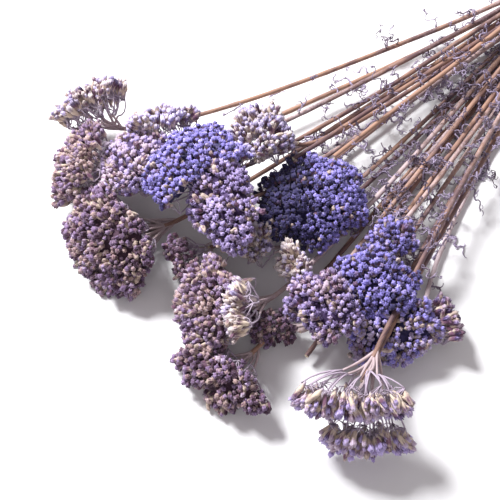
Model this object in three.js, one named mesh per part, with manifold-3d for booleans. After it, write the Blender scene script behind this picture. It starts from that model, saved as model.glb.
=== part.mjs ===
// A bunch of dried yarrow lying on a table. Long cut stems, held near their cut ends by a twine tie, fan out
// to dyed flower heads. Each stem forks at its neck into a few rays, which carry a domed head of tight florets.
// Millimetres, +Z up from the table. The tables below are measured from under the middle of the tie: +X runs
// along the stems towards the flowers. The bunch is then moved so that the origin is under its own middle.

import * as THREE from "three";
import Module from "manifold-3d";

const wasm = await Module();
wasm.setup();

// Sizes that drive the rest
const CLEAR = 0.35; // gap left between pieces that touch
const STEM_RADIUS = { cut: 1.75, tie: 1.6, neck: 1.2 };
const STEM_SIDES = 5;
const TAIL = { length: 74, uneven: 9, flare: 1.5 }; // from the tie to the cut ends
const TIE = { thick: 1.3, room: 0.5, width: 8, facets: 20, knot: 2.4 };
const SLOT_PITCH = 3.8; // between the stems of one row in the tie
const ROW_PITCH = 3.6; // between the rows
const ROWS = [4, 5, 6, 5, 4]; // stems in each row, lowest first
const LOWEST_ROW = STEM_RADIUS.tie + TIE.room + TIE.thick;
const TIE_HANDLE = 0.14; // share of its length over which a stem leaves the tie straight
const NECK_HANDLE = 22; // length over which a stem turns towards its head
const RAY = { foot: 1, tip: 0.7, count: 3, few: 2, tries: 30 };
const FLORET = { lift: 1.7, sink: 1.4 }; // how far a floret stands out, and the cleft round it goes in
const CUP_DEPTH = 5.5; // height of the cups below a head's florets
const RISE = 0.42; // a head's rise, as a share of its mean half width
const RIM = THREE.MathUtils.degToRad(65); // how far down its ellipsoid a head's dome goes
const LEAF = { length: 17, wide: 1.5, narrow: 0.8, thick: 0.75, steps: 4, curl: 2.5, tries: 60 };
const LEAVES_PER_STEM = 1;
const FINEST = 0.08; // smaller steps in a surface are smoothed away

const ALONG = new THREE.Vector3(1, 0, 0);
const SIDEWAYS = new THREE.Vector3(0, 1, 0);

const COLOURS = {
  stem: "#977a6b",
  pale: "#a598b0",
  tie: "#b3986c",
  blue: "#6462a8",
  violet: "#746a9c",
  brown: "#78606f",
};

// Each head: the stem that carries it, the top of its dome, the bearing and pitch in degrees that it faces,
// its half width across and up its face, the rings of florets round its middle one, and their main colour
const HEADS = [
  { stem: 1, top: [303, -37, 54], faces: [-80, 75], half: [30, 32], rings: 5, colour: "blue" },
  { stem: 2, top: [311, -13, 54], faces: [-25, 60], half: [36, 19], rings: 5, colour: "violet" },
  { stem: 3, top: [264, 14, 34], faces: [80, 80], half: [32, 27], rings: 5, colour: "blue" },
  { stem: 4, top: [338, 112, 28], faces: [45, -30], half: [30, 12], rings: 4, colour: "violet" },
  { stem: 5, top: [308, -122, 36], faces: [-100, 30], half: [23, 20], rings: 4, colour: "pale" },
  { stem: 6, top: [349, 18, 28], faces: [-25, 50], half: [29, 23], rings: 5, colour: "brown" },
  { stem: 7, top: [311, 62, 40], faces: [-5, 65], half: [22, 18], rings: 4, colour: "violet" },
  { stem: 8, top: [278, 70, 34], faces: [-10, 80], half: [24, 20], rings: 4, colour: "blue" },
  { stem: 9, top: [343, -97, 30], faces: [-50, 35], half: [27, 24], rings: 4, colour: "brown" },
  { stem: 10, top: [365, -45, 24], faces: [-5, 40], half: [35, 27], rings: 5, colour: "brown" },
  { stem: 11, top: [317, -69, 40], faces: [-75, 70], half: [26, 28], rings: 4, colour: "violet" },
  { stem: 12, top: [260, -30, 50], faces: [-140, 80], half: [20, 22], rings: 4, colour: "pale" },
  { stem: 13, top: [289, 94, 24], faces: [55, 60], half: [28, 18], rings: 4, colour: "blue" },
  { stem: 14, top: [370, 52, 18], faces: [10, 40], half: [29, 15], rings: 4, colour: "brown" },
  { stem: 15, top: [255, 106, 16], faces: [155, 20], half: [14, 10], rings: 3, colour: "violet" },
  { stem: 16, top: [304, 10, 30], faces: [-70, 75], half: [13, 11], rings: 3, colour: "pale" },
  { stem: 17, top: [248, 56, 30], faces: [-145, 80], half: [15, 13], rings: 3, colour: "blue" },
  { stem: 18, top: [338, -13, 16], faces: [-10, 25], half: [15, 12], rings: 3, colour: "brown" },
  { stem: 19, top: [330, 49, 14], faces: [30, 40], half: [14, 12], rings: 3, colour: "brown" },
  { stem: 4, top: [341, 124, 12], faces: [45, -30], half: [24, 12], rings: 3, colour: "violet" },
  { stem: 11, top: [290, -79, 42], faces: [-120, 45], half: [22, 14], rings: 3, colour: "pale" },
  { stem: 16, top: [301, 33, 32], faces: [-30, 65], half: [14, 10], rings: 3, colour: "pale" },
  { stem: 6, top: [343, 30, 34], faces: [-43, 10], half: [19, 9], rings: 3, colour: "pale" },
];

// Each stem: where it ends, at the neck of the heads that it carries, and its row and place in the tie.
// The last stems carry no head.
const STEMS = [
  { neck: [283, -30, 27], slot: [4, 0] },
  { neck: [291, -8, 31], slot: [2, 3] },
  { neck: [243, 14, 13], slot: [0, 0] },
  { neck: [309, 97, 27], slot: [4, 3] },
  { neck: [306, -100, 20], slot: [2, 0] },
  { neck: [322, 35, 17], slot: [1, 1] },
  { neck: [299, 54, 19], slot: [4, 2] },
  { neck: [252, 62, 13], slot: [2, 4] },
  { neck: [325, -77, 17], slot: [2, 1] },
  { neck: [325, -36, 9], slot: [3, 1] },
  { neck: [284, -48, 27], slot: [3, 0] },
  { neck: [245, -18, 27], slot: [2, 2] },
  { neck: [268, 79, 9], slot: [0, 3] },
  { neck: [341, 49, 7], slot: [1, 2] },
  { neck: [260, 94, 8], slot: [1, 4] },
  { neck: [288, 18, 14], slot: [0, 1] },
  { neck: [236, 45, 14], slot: [0, 2] },
  { neck: [316, -10, 8], slot: [1, 0] },
  { neck: [317, 58, 12], slot: [3, 4] },
  { neck: [319, 100, 24], slot: [2, 5] },
  { neck: [322, 68, 6], slot: [3, 3] },
  { neck: [239, 3, 30], slot: [4, 1] },
  { neck: [256, -10, 31], slot: [3, 2] },
  { neck: [232, 34, 8], slot: [1, 3] },
];

// A row of numbers from 0 to 1 that is the same each time
function draw(seed) {
  let state = seed;
  return () => {
    state = (Math.imul(state, 1664525) + 1013904223) >>> 0;
    return state / 4294967296;
  };
}

function solid(points, triangles) {
  const places = points.flatMap((point) => [point.x, point.y, point.z]);
  const mesh = new wasm.Mesh({
    numProp: 3,
    vertProperties: new Float32Array(places),
    triVerts: new Uint32Array(triangles.flat()),
  });
  return new wasm.Manifold(mesh);
}

function largest(body) {
  const pieces = body.decompose();
  pieces.sort((a, b) => b.volume() - a.volume());
  return pieces[0];
}

function meets(a, b) {
  return a.intersect(b).volume() > 0;
}

// A closed bar through the points. Its section there is an oval with these half sizes, wide along `across`.
function bar(points, wide, high, sides, across) {
  const last = points.length - 1;
  const corners = [];
  const triangles = [];
  points.forEach((point, i) => {
    const along = points[Math.min(i + 1, last)].clone().sub(points[Math.max(i - 1, 0)]).normalize();
    const side = across.clone().addScaledVector(along, -across.dot(along)).normalize();
    const up = along.clone().cross(side);
    for (let j = 0; j < sides; j += 1) {
      const turn = ((j + 0.5) / sides) * 2 * Math.PI;
      const corner = point.clone().addScaledVector(side, Math.cos(turn) * wide[i]);
      corners.push(corner.addScaledVector(up, Math.sin(turn) * high[i]));
    }
  });
  for (let i = 0; i < last; i += 1) {
    for (let j = 0; j < sides; j += 1) {
      const here = i * sides + j;
      const next = i * sides + ((j + 1) % sides);
      triangles.push([here, next, next + sides], [here, next + sides, here + sides]);
    }
  }
  const end = last * sides;
  for (let j = 1; j < sides - 1; j += 1) {
    triangles.push([0, j + 1, j], [end, end + j, end + j + 1]);
  }
  return solid(corners, triangles);
}

// Where a stem passes through the tie
function slotPlace([row, place]) {
  return new THREE.Vector3(0, (place - (ROWS[row] - 1) / 2) * SLOT_PITCH, LOWEST_ROW + row * ROW_PITCH);
}

function stemCurve(stem, index) {
  const neck = new THREE.Vector3(...stem.neck);
  const slot = slotPlace(stem.slot);
  const carried = HEADS.find((head) => head.stem === index + 1);
  const target = carried ? new THREE.Vector3(...carried.top).sub(neck) : neck.clone().setZ(neck.z - 9);
  const leave = slot.clone().addScaledVector(ALONG, TIE_HANDLE * neck.distanceTo(slot));
  const arrive = neck.clone().addScaledVector(target.normalize(), -NECK_HANDLE);
  return new THREE.CubicBezierCurve3(slot, leave, arrive, neck);
}

// The short run of a stem behind the tie, from its cut end
function tailCurve(stem, index) {
  const slot = slotPlace(stem.slot);
  const length = TAIL.length + TAIL.uneven * (2 * draw(900 + index)() - 1);
  const low = STEM_RADIUS.cut + 0.1;
  const cut = new THREE.Vector3(-length, slot.y * TAIL.flare, low + stem.slot[0] * ROW_PITCH * 1.1);
  const leave = cut.clone().addScaledVector(ALONG, 20);
  return new THREE.CubicBezierCurve3(cut, leave, slot.clone().addScaledVector(ALONG, -25), slot);
}

const curves = STEMS.map(stemCurve);
const tails = STEMS.map(tailCurve);

function stemTube(index, extra) {
  const points = [...tails[index].getPoints(2).slice(0, 2), ...curves[index].getPoints(7)];
  const radii = points.map((point) => {
    if (point.x < 0) {
      return THREE.MathUtils.mapLinear(point.x, -TAIL.length, 0, STEM_RADIUS.cut, STEM_RADIUS.tie) + extra;
    }
    const end = curves[index].v3.x;
    return THREE.MathUtils.mapLinear(point.x, 0, end, STEM_RADIUS.tie, STEM_RADIUS.neck) + extra;
  });
  return bar(points, radii, radii, STEM_SIDES, SIDEWAYS);
}

// The frame of a head: its dome's top, with +Z along the way it faces
function headFrame(head) {
  const [bearing, pitch] = head.faces.map(THREE.MathUtils.degToRad);
  const frame = new THREE.Object3D();
  frame.position.set(...head.top);
  frame.rotation.set(0, Math.PI / 2 - pitch, bearing, "ZYX");
  frame.updateMatrixWorld(true);
  return frame.matrixWorld;
}

function headRise(head) {
  return (RISE * (head.half[0] + head.half[1])) / 2;
}

// A point of a head's dome in its own frame, at a share of the way out to its rim, raised along the normal.
// Waves round the rim make its lobes, and shallow dents part the smaller clusters.
function domePoint(head, index, out, turn, raise) {
  const tilt = out * RIM;
  const lobes = 4 + (index % 3);
  const wave = out * out * Math.sin(lobes * turn + index * 1.9);
  const ripple = out * out * Math.sin((2 * lobes + 1) * turn + index * 3.1);
  const reach = (Math.sin(tilt) / Math.sin(RIM)) * (1 + 0.08 * wave + 0.04 * ripple);
  const flat = 1 - Math.cos(RIM);
  const [across, deep] = head.half;
  const rise = headRise(head);
  const x = deep * reach * Math.cos(turn);
  const y = across * reach * Math.sin(turn);
  const dent = 0.9 * Math.sin(x * 0.33 + index) * Math.sin(y * 0.29 + index * 2.3);
  const z = (-rise * (1 - Math.cos(tilt))) / flat + 1.1 * wave + dent;
  const spread = Math.sin(tilt) * Math.sin(RIM);
  const normal = new THREE.Vector3(
    (spread * Math.cos(turn)) / deep,
    (spread * Math.sin(turn)) / across,
    (Math.cos(tilt) * flat) / rise,
  ).normalize();
  return new THREE.Vector3(x, y, z).addScaledVector(normal, raise);
}

const SIX_WAYS = [[1, 0], [0, 1], [-1, 1], [-1, 0], [0, -1], [1, -1]];

// The place of the floret at hexagonal steps (q, r) from the middle: its ring, and its turn round the head
function ringAndTurn(q, r) {
  const ring = Math.max(Math.abs(q), Math.abs(r), Math.abs(q + r));
  if (ring === 0) {
    return [0, 0];
  }
  for (let side = 0; side < 6; side += 1) {
    const [fromQ, fromR] = SIX_WAYS[side];
    const [stepQ, stepR] = SIX_WAYS[(side + 2) % 6];
    for (let step = 0; step < ring; step += 1) {
      if (fromQ * ring + stepQ * step === q && fromR * ring + stepR * step === r) {
        return [ring, ((side * ring + step) / (6 * ring)) * 2 * Math.PI];
      }
    }
  }
  throw new Error("no place on the ring");
}

// A head as one solid: pointed florets on a dome, parted by clefts, over a shallow cone of cups
function headSolid(head, index) {
  const random = draw(40 + index);
  const count = head.rings;
  const points = [];
  const triangles = [];
  const known = new Map();
  const place = (q, r) => {
    const [ring, turn] = ringAndTurn(q, r);
    return domePoint(head, index, ring / (count + 0.5), turn, 0);
  };
  const cleft = (corners) => {
    const sumQ = corners[0][0] + corners[1][0] + corners[2][0];
    const sumR = corners[0][1] + corners[1][1] + corners[2][1];
    const key = sumQ + "," + sumR;
    if (!known.has(key)) {
      const middle = new THREE.Vector3();
      corners.forEach(([q, r]) => middle.addScaledVector(place(q, r), 1 / 3));
      middle.z -= FLORET.sink;
      known.set(key, points.push(middle) - 1);
    }
    return known.get(key);
  };
  const after = new Map();
  for (let q = -count; q <= count; q += 1) {
    for (let r = Math.max(-count, -count - q); r <= Math.min(count, count - q); r += 1) {
      const [ring, turn] = ringAndTurn(q, r);
      const lift = FLORET.lift * (0.65 + 0.7 * random());
      const tip = points.push(domePoint(head, index, ring / (count + 0.5), turn, lift)) - 1;
      const round = SIX_WAYS.map(([stepQ, stepR], k) => {
        const [nextQ, nextR] = SIX_WAYS[(k + 1) % 6];
        return cleft([[q, r], [q + stepQ, r + stepR], [q + nextQ, r + nextR]]);
      });
      round.forEach((here, k) => {
        const next = round[(k + 1) % 6];
        triangles.push([tip, here, next]);
        if (after.get(next) === here) {
          after.delete(next);
        } else {
          after.set(here, next);
        }
      });
    }
  }
  addUnderside(head, points, triangles, after);
  return solid(points, triangles);
}

// Closes a head below its rim with a narrower ring and a low middle point
function addUnderside(head, points, triangles, after) {
  const rim = [after.keys().next().value];
  while (after.get(rim[rim.length - 1]) !== rim[0]) {
    rim.push(after.get(rim[rim.length - 1]));
  }
  const depth = headRise(head) + CUP_DEPTH;
  const inner = [];
  for (let i = 0; i < rim.length; i += 6) {
    const above = points[rim[i]];
    inner.push(points.push(new THREE.Vector3(above.x * 0.72, above.y * 0.72, -depth)) - 1);
  }
  const middle = points.push(new THREE.Vector3(0, 0, -depth - 1.5)) - 1;
  rim.forEach((here, i) => {
    const next = rim[(i + 1) % rim.length];
    const below = inner[Math.floor(i / 6)];
    triangles.push([here, below, next]);
    if (i % 6 === 5) {
      triangles.push([next, below, inner[(Math.floor(i / 6) + 1) % inner.length]]);
    }
  });
  inner.forEach((here, i) => triangles.push([here, middle, inner[(i + 1) % inner.length]]));
}

// The room a head takes, without its florets and a little larger, to keep stems and leaves out of it
function headRoom(head, index) {
  const sides = 30;
  const depth = headRise(head) + CUP_DEPTH;
  const points = [domePoint(head, index, 0, 0, FLORET.lift + 1.3)];
  const triangles = [];
  const outs = [0.4, 0.72, 1];
  outs.forEach((out) => {
    for (let j = 0; j < sides; j += 1) {
      points.push(domePoint(head, index, out, (j / sides) * 2 * Math.PI, FLORET.lift + 1.3));
    }
  });
  for (let j = 0; j < sides; j += 1) {
    const rim = domePoint(head, index, 1, (j / sides) * 2 * Math.PI, 0);
    points.push(new THREE.Vector3(rim.x * 0.76, rim.y * 0.76, -depth - CLEAR));
  }
  const low = points.push(new THREE.Vector3(0, 0, -depth - 1.5 - CLEAR)) - 1;
  for (let j = 0; j < sides; j += 1) {
    const next = (j + 1) % sides;
    triangles.push([0, 1 + j, 1 + next]);
    outs.forEach((out, ring) => {
      const here = 1 + ring * sides;
      triangles.push([here + j, here + sides + j, here + sides + next]);
      triangles.push([here + j, here + sides + next, here + next]);
    });
    const end = 1 + outs.length * sides;
    triangles.push([end + j, low, end + next]);
  }
  return solid(points, triangles);
}

function inBunch(body, frame) {
  return body.transform(frame.elements);
}

// How far a head reaches from its middle along a direction
function reachAlong(head, frame, direction) {
  const local = direction.clone().transformDirection(frame.clone().invert());
  const half = (headRise(head) + CUP_DEPTH) / 2;
  return Math.hypot(local.x * head.half[1], local.y * head.half[0], local.z * half);
}

// Where two heads press on each other, each keeps to its own side of a plane between them
function partHeads(solids, frames) {
  const middles = frames.map((frame, i) =>
    new THREE.Vector3(0, 0, -(headRise(HEADS[i]) + CUP_DEPTH) / 2).applyMatrix4(frame));
  for (let a = 0; a < solids.length; a += 1) {
    for (let b = a + 1; b < solids.length; b += 1) {
      if (!meets(solids[a], solids[b])) {
        continue;
      }
      const gap = middles[b].clone().sub(middles[a]);
      const between = gap.clone().normalize();
      const reachA = reachAlong(HEADS[a], frames[a], between);
      const reachB = reachAlong(HEADS[b], frames[b], between);
      const share = reachA / (reachA + reachB);
      const offset = middles[a].clone().addScaledVector(gap, share).dot(between);
      const [x, y, z] = between.toArray();
      solids[a] = largest(solids[a].trimByPlane([-x, -y, -z], CLEAR / 2 - offset));
      solids[b] = largest(solids[b].trimByPlane([x, y, z], CLEAR / 2 + offset));
    }
  }
}

// One ray from a place on a stem up into the underside of its head, at a turn round the head's axis
function ray(head, index, start, share, turn, extra) {
  const frame = frames[index];
  const foot = curves[head.stem - 1].getPoint(start);
  const reach = new THREE.Vector3(head.half[1] * Math.cos(turn), head.half[0] * Math.sin(turn), 0);
  const end = reach.multiplyScalar(share).setZ(1.5 - headRise(head) - CUP_DEPTH).applyMatrix4(frame);
  const back = new THREE.Vector3(0, 0, -1).transformDirection(frame);
  const elbow = foot.clone().lerp(end, 0.6).addScaledVector(back, 3);
  const across = new THREE.Vector3(0, 0, 1).cross(end.clone().sub(foot)).normalize();
  const sizes = [RAY.foot, (RAY.foot + RAY.tip) / 2, RAY.tip].map((size) => size + extra);
  return bar([foot, elbow, end], sizes, sizes, 3, across);
}

// The rays of a head that pass clear of the other pieces. The outer ones leave the stem lower down.
function rays(head, index, others) {
  const random = draw(70 + index);
  const made = [];
  const last = head.rings > 3 ? RAY.count : RAY.few;
  for (let i = 0; i <= last; i += 1) {
    for (let tried = 0; tried < RAY.tries; tried += 1) {
      const start = i === 0 ? 0.985 : 0.9 + 0.085 * random();
      const share = i === 0 ? 0.4 * random() : 0.35 + 0.3 * random();
      const turn = ((i + 0.9 * random()) / RAY.count) * 2 * Math.PI;
      const around = ray(head, index, start, share, turn, CLEAR).subtract(rooms[index]);
      if (isClear(around, others)) {
        made.push(ray(head, index, start, share, turn, 0).subtract(rooms[index]));
        break;
      }
    }
  }
  return made;
}

function isClear(body, others) {
  return body.boundingBox().min[2] > 0 && !others.some((other) => meets(body, other));
}

// The middle line of one curled leaf, which leaves its stem and hooks back over itself
function leafLine(curve, share, turn) {
  const root = curve.getPoint(share);
  const along = curve.getTangent(share);
  const side = SIDEWAYS.clone().cross(along).normalize();
  const out = side.clone().applyAxisAngle(along, turn);
  const across = along.clone().cross(out).normalize();
  const points = [root];
  const step = LEAF.length / LEAF.steps;
  for (let i = 0; i < LEAF.steps; i += 1) {
    const heading = 0.7 + (LEAF.curl * i) / LEAF.steps;
    const place = points[i].clone().addScaledVector(along, Math.cos(heading) * step);
    points.push(place.addScaledVector(out, Math.sin(heading) * step));
  }
  return { points, across };
}

// Whether a leaf keeps clear of the table, of every other stem, and of the leaves already placed
function leafIsClear(line, own, placed) {
  return line.points.slice(1).every((point) => {
    if (point.z < LEAF.wide + 0.6) {
      return false;
    }
    const stemsClear = stemDots.every((dots, i) => {
      const room = STEM_RADIUS.tie + LEAF.wide + (i === own ? 0 : 0.7);
      return i === own || dots.every((dot) => dot.distanceTo(point) > room);
    });
    return stemsClear && placed.every((dot) => dot.distanceTo(point) > 2 * LEAF.wide + 0.6);
  });
}

const stemDots = curves.map((curve) => curve.getPoints(110));

function placeLeaves() {
  const placed = [];
  return curves.map((curve, index) => {
    const random = draw(200 + index);
    const lines = [];
    for (let tried = 0; tried < LEAF.tries && lines.length < LEAVES_PER_STEM; tried += 1) {
      const line = leafLine(curve, 0.3 + 0.52 * random(), random() * 2 * Math.PI);
      if (leafIsClear(line, index, placed)) {
        lines.push(line);
        placed.push(...line.points);
      }
    }
    return lines;
  });
}

function leafSolid(line, extra) {
  const wide = line.points.map((point, i) => (i % 2 === 0 ? LEAF.narrow : LEAF.wide) + extra);
  const high = line.points.map(() => LEAF.thick + extra);
  return bar(line.points, wide, high, 3, line.across);
}

// The tie: a band of three turns of twine round all the stems, with a small knot on top
function tieSolid() {
  const slots = STEMS.map((stem) => slotPlace(stem.slot));
  const section = [
    [-0.5, 0], [0.5, 0], [0.33, 1], [0.17, 0.6], [0, 1], [-0.17, 0.6], [-0.33, 1],
  ];
  const count = section.length;
  const points = [];
  const triangles = [];
  for (let i = 0; i < TIE.facets; i += 1) {
    const turn = (i / TIE.facets) * 2 * Math.PI;
    const out = new THREE.Vector3(0, Math.cos(turn), Math.sin(turn));
    const outer = slots.reduce((best, slot) => (slot.dot(out) > best.dot(out) + 0.01 ? slot : best));
    section.forEach(([along, high]) => {
      const room = STEM_RADIUS.tie + TIE.room + high * TIE.thick;
      points.push(outer.clone().addScaledVector(out, room).addScaledVector(ALONG, along * TIE.width));
    });
    const next = ((i + 1) % TIE.facets) * count;
    for (let j = 0; j < count; j += 1) {
      const k = (j + 1) % count;
      const here = i * count;
      triangles.push([here + j, here + k, next + k], [here + j, next + k, next + j]);
    }
  }
  const top = Math.max(...slots.map((slot) => slot.z)) + STEM_RADIUS.tie + TIE.room + TIE.thick;
  const knot = wasm.Manifold.sphere(TIE.knot, 10).scale([1.1, 1.3, 0.8]).translate([0, 1, top + 0.6]);
  return solid(points, triangles).add(knot);
}

// Every head, parted from its neighbours, from the stems that pass it and from the table
const frames = HEADS.map(headFrame);
const rooms = HEADS.map((head, i) => inBunch(headRoom(head, i), frames[i]));
const heads = HEADS.map((head, i) => inBunch(headSolid(head, i), frames[i]));
partHeads(heads, frames);
const tubes = STEMS.map((stem, i) => stemTube(i, 0));
const thickTubes = STEMS.map((stem, i) => stemTube(i, CLEAR));
heads.forEach((head, i) => {
  const cut = thickTubes.reduce((body, tube) => (meets(body, tube) ? body.subtract(tube) : body), head);
  heads[i] = largest(cut.trimByPlane([0, 0, 1], 0));
});

// Every stem, with those of its leaves and rays that pass clear of the heads and of the stems before it
const leafLines = placeLeaves();
const twigs = [];
const stems = tubes.map((tube, i) => {
  const others = [...tubes.filter((other) => other !== tube), ...heads, ...twigs];
  const clearLines = leafLines[i].filter((line) => isClear(leafSolid(line, CLEAR), others));
  const leaves = clearLines.map((line) => leafSolid(line, 0));
  const forks = HEADS.flatMap((head, k) => (head.stem === i + 1 ? rays(head, k, others) : []));
  twigs.push(...leaves, ...forks);
  return largest(wasm.Manifold.union([tube, ...leaves, ...forks]));
});

const bunch = new THREE.Group();
bunch.name = "bunch";

function addPiece(name, body, colour, roughness) {
  const mesh = body.simplify(FINEST).getMesh();
  const geometry = new THREE.BufferGeometry();
  const places = [];
  for (let i = 0; i < mesh.numVert; i += 1) {
    places.push(...mesh.vertProperties.subarray(i * mesh.numProp, i * mesh.numProp + 3));
  }
  geometry.setAttribute("position", new THREE.Float32BufferAttribute(places, 3));
  geometry.setIndex([...mesh.triVerts]);
  geometry.computeVertexNormals();
  const material = new THREE.MeshStandardMaterial({ color: COLOURS[colour], roughness, metalness: 0 });
  const piece = new THREE.Mesh(geometry, material);
  piece.name = name;
  bunch.add(piece);
}

const numbered = (word, i) => word + "_" + String(i + 1).padStart(2, "0");
heads.forEach((body, i) => addPiece(numbered("head", i), body, HEADS[i].colour, 0.95));
stems.forEach((body, i) => addPiece(numbered("stem", i), body, "stem", 0.85));
addPiece("tie", tieSolid(), "tie", 0.9);

const bounds = new THREE.Box3().setFromObject(bunch);
const middle = bounds.getCenter(new THREE.Vector3());
bunch.position.set(-middle.x, -middle.y, -bounds.min.z);

const root = new THREE.Group();
root.add(bunch);

export default root;
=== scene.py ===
import math

import bpy
import numpy as np
from bpy.props import FloatProperty, FloatVectorProperty, IntProperty, PointerProperty
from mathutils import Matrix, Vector
from mathutils.bvhtree import BVHTree


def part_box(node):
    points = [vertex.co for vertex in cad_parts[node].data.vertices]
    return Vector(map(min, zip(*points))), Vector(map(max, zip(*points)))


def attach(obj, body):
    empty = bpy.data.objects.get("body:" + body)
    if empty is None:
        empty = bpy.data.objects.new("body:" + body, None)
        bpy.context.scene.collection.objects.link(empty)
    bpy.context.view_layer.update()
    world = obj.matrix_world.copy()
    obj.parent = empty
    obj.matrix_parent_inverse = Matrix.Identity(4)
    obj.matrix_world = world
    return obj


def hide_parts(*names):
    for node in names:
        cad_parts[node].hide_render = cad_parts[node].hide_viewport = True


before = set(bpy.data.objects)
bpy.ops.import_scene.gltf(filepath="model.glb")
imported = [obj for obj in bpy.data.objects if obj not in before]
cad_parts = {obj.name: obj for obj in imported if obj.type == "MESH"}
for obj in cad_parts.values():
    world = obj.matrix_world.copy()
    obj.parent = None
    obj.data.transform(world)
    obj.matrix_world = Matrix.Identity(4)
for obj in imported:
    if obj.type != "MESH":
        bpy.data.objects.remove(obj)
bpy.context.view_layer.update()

bl_info = {
    "name": "Dried yarrow bunch",
    "version": (1, 0, 0),
    "blender": (4, 5, 0),
    "location": "View3D > Sidebar > Yarrow",
    "description": "Builds a tied bunch of dried yarrow: flower heads, stems with curled leaves, and twine",
    "category": "Object",
}

MM = 0.001
MESH_VALUES = ("part", "shade", "tint")  # of each point, which the materials read

# The same measures as the solid part, in millimetres from under the middle of the tie
STEM_RADIUS = {"cut": 1.75, "tie": 1.6, "neck": 1.2}
TAIL = {"length": 74, "uneven": 9, "flare": 1.5}
TIE = {"thick": 1.3, "room": 0.5, "width": 8}
SLOT_PITCH = 3.8
ROW_PITCH = 3.6
ROWS = [4, 5, 6, 5, 4]
LOWEST_ROW = STEM_RADIUS["tie"] + TIE["room"] + TIE["thick"]
TIE_HANDLE = 0.14
NECK_HANDLE = 22
RISE = 0.42
RIM = math.radians(65)
WAVES = {"wave": 0.08, "ripple": 0.04, "rise": 1.1, "dent": 0.9, "dent_up": 0.33, "dent_across": 0.29}

# Each head: the stem that carries it, the top of its dome, the bearing and pitch that it faces, its half
# width across and up its face, its colour, how light it is (partly its own tone, partly painted light or
# shade for how the lamps reach it), how faded it is, how far its florets open, how long its cups are, how
# uneven it is, and how much painted shadow darkens its left side
HEAD_VALUES = ("stem", "top", "faces", "half", "colour", "light", "faded", "open", "long", "rough", "left_painted_shadow")
HEADS = [dict(zip(HEAD_VALUES, row)) for row in (
    (1, (303, -37, 54), (-80, 75), (30, 32), "blue", 0.6, 0.1, 0.95, 1.0, 0.8, 0),
    (2, (311, -13, 54), (-25, 60), (36, 19), "violet", 0.5, 0.3, 0.85, 1.0, 0.9, 0),
    (3, (264, 14, 34), (80, 80), (32, 27), "blue", 0.56, 0.0, 1.0, 1.0, 0.4, 0.85),
    (4, (338, 112, 28), (45, -30), (30, 12), "violet", 0.75, 0.65, 0.4, 1.6, 0.9, 0),
    (5, (308, -122, 36), (-100, 30), (23, 20), "pale", 0.6, 0.7, 0.4, 1.4, 1.1, 0),
    (6, (349, 18, 28), (-25, 50), (29, 23), "brown", 0.75, 0.55, 0.55, 1.3, 1.2, 0),
    (7, (311, 62, 40), (-5, 65), (22, 18), "violet", 0.5, 0.5, 0.6, 1.1, 1.1, 0),
    (8, (278, 70, 34), (-10, 80), (24, 20), "blue", 0.5, 0.1, 0.9, 1.0, 0.8, 0),
    (9, (343, -97, 30), (-50, 35), (27, 24), "brown", 0.75, 0.65, 0.45, 1.4, 1.2, 0),
    (10, (365, -45, 24), (-5, 40), (35, 27), "brown", 0.6, 0.45, 0.6, 1.25, 1.1, 0),
    (11, (317, -69, 40), (-75, 70), (26, 28), "violet", 0.7, 0.72, 0.75, 1.1, 1.1, 0),
    (12, (260, -30, 50), (-140, 80), (20, 22), "pale", 0.65, 0.5, 0.5, 1.4, 1.4, 0),
    (13, (289, 94, 24), (55, 60), (28, 18), "blue", 0.95, 0.62, 0.7, 1.2, 1.1, 0),
    (14, (370, 52, 18), (10, 40), (29, 15), "brown", 0.6, 0.5, 0.7, 1.15, 1.1, 0),
    (15, (255, 106, 16), (155, 20), (14, 10), "violet", 0.4, 0.6, 0.4, 1.3, 1.0, 0),
    (16, (304, 10, 30), (-70, 75), (13, 11), "pale", 0.7, 0.8, 0.3, 1.3, 1.0, 0),
    (17, (248, 56, 30), (-145, 80), (15, 13), "blue", 0.5, 0.3, 0.5, 1.2, 1.0, 0),
    (18, (338, -13, 16), (-10, 25), (15, 12), "brown", 0.3, 0.4, 0.6, 1.0, 1.0, 0),
    (19, (330, 49, 14), (30, 40), (14, 12), "brown", 0.3, 0.4, 0.6, 1.0, 1.0, 0),
    (4, (341, 124, 12), (45, -30), (24, 12), "violet", 0.95, 0.65, 0.45, 1.6, 1.0, 0),
    (11, (290, -79, 42), (-120, 45), (22, 14), "pale", 0.9, 0.4, 0.5, 1.2, 1.0, 0),
    (16, (301, 33, 32), (-30, 65), (14, 10), "pale", 0.7, 0.9, 0.3, 1.4, 1.0, 0),
    (6, (343, 30, 34), (-43, 10), (19, 9), "pale", 0.75, 0.95, 0.1, 1.8, 0.8, 0),
)]

# Each stem: its neck, or its end where it carries no head, and its row and place in the tie
STEMS = [{"neck": neck, "slot": slot} for neck, slot in (
    ((283, -30, 27), (4, 0)), ((291, -8, 31), (2, 3)), ((243, 14, 13), (0, 0)), ((309, 97, 27), (4, 3)),
    ((306, -100, 20), (2, 0)), ((322, 35, 17), (1, 1)), ((299, 54, 19), (4, 2)), ((252, 62, 13), (2, 4)),
    ((325, -77, 17), (2, 1)), ((325, -36, 9), (3, 1)), ((284, -48, 27), (3, 0)), ((245, -18, 27), (2, 2)),
    ((268, 79, 9), (0, 3)), ((341, 49, 7), (1, 2)), ((260, 94, 8), (1, 4)), ((288, 18, 14), (0, 1)),
    ((236, 45, 14), (0, 2)), ((316, -10, 8), (1, 0)), ((317, 58, 12), (3, 4)), ((319, 100, 24), (2, 5)),
    ((322, 68, 6), (3, 3)), ((239, 3, 30), (4, 1)), ((256, -10, 31), (3, 2)), ((232, 34, 8), (1, 3)),
)]

GOLDEN_TURN = math.pi * (3 - math.sqrt(5))
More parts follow.
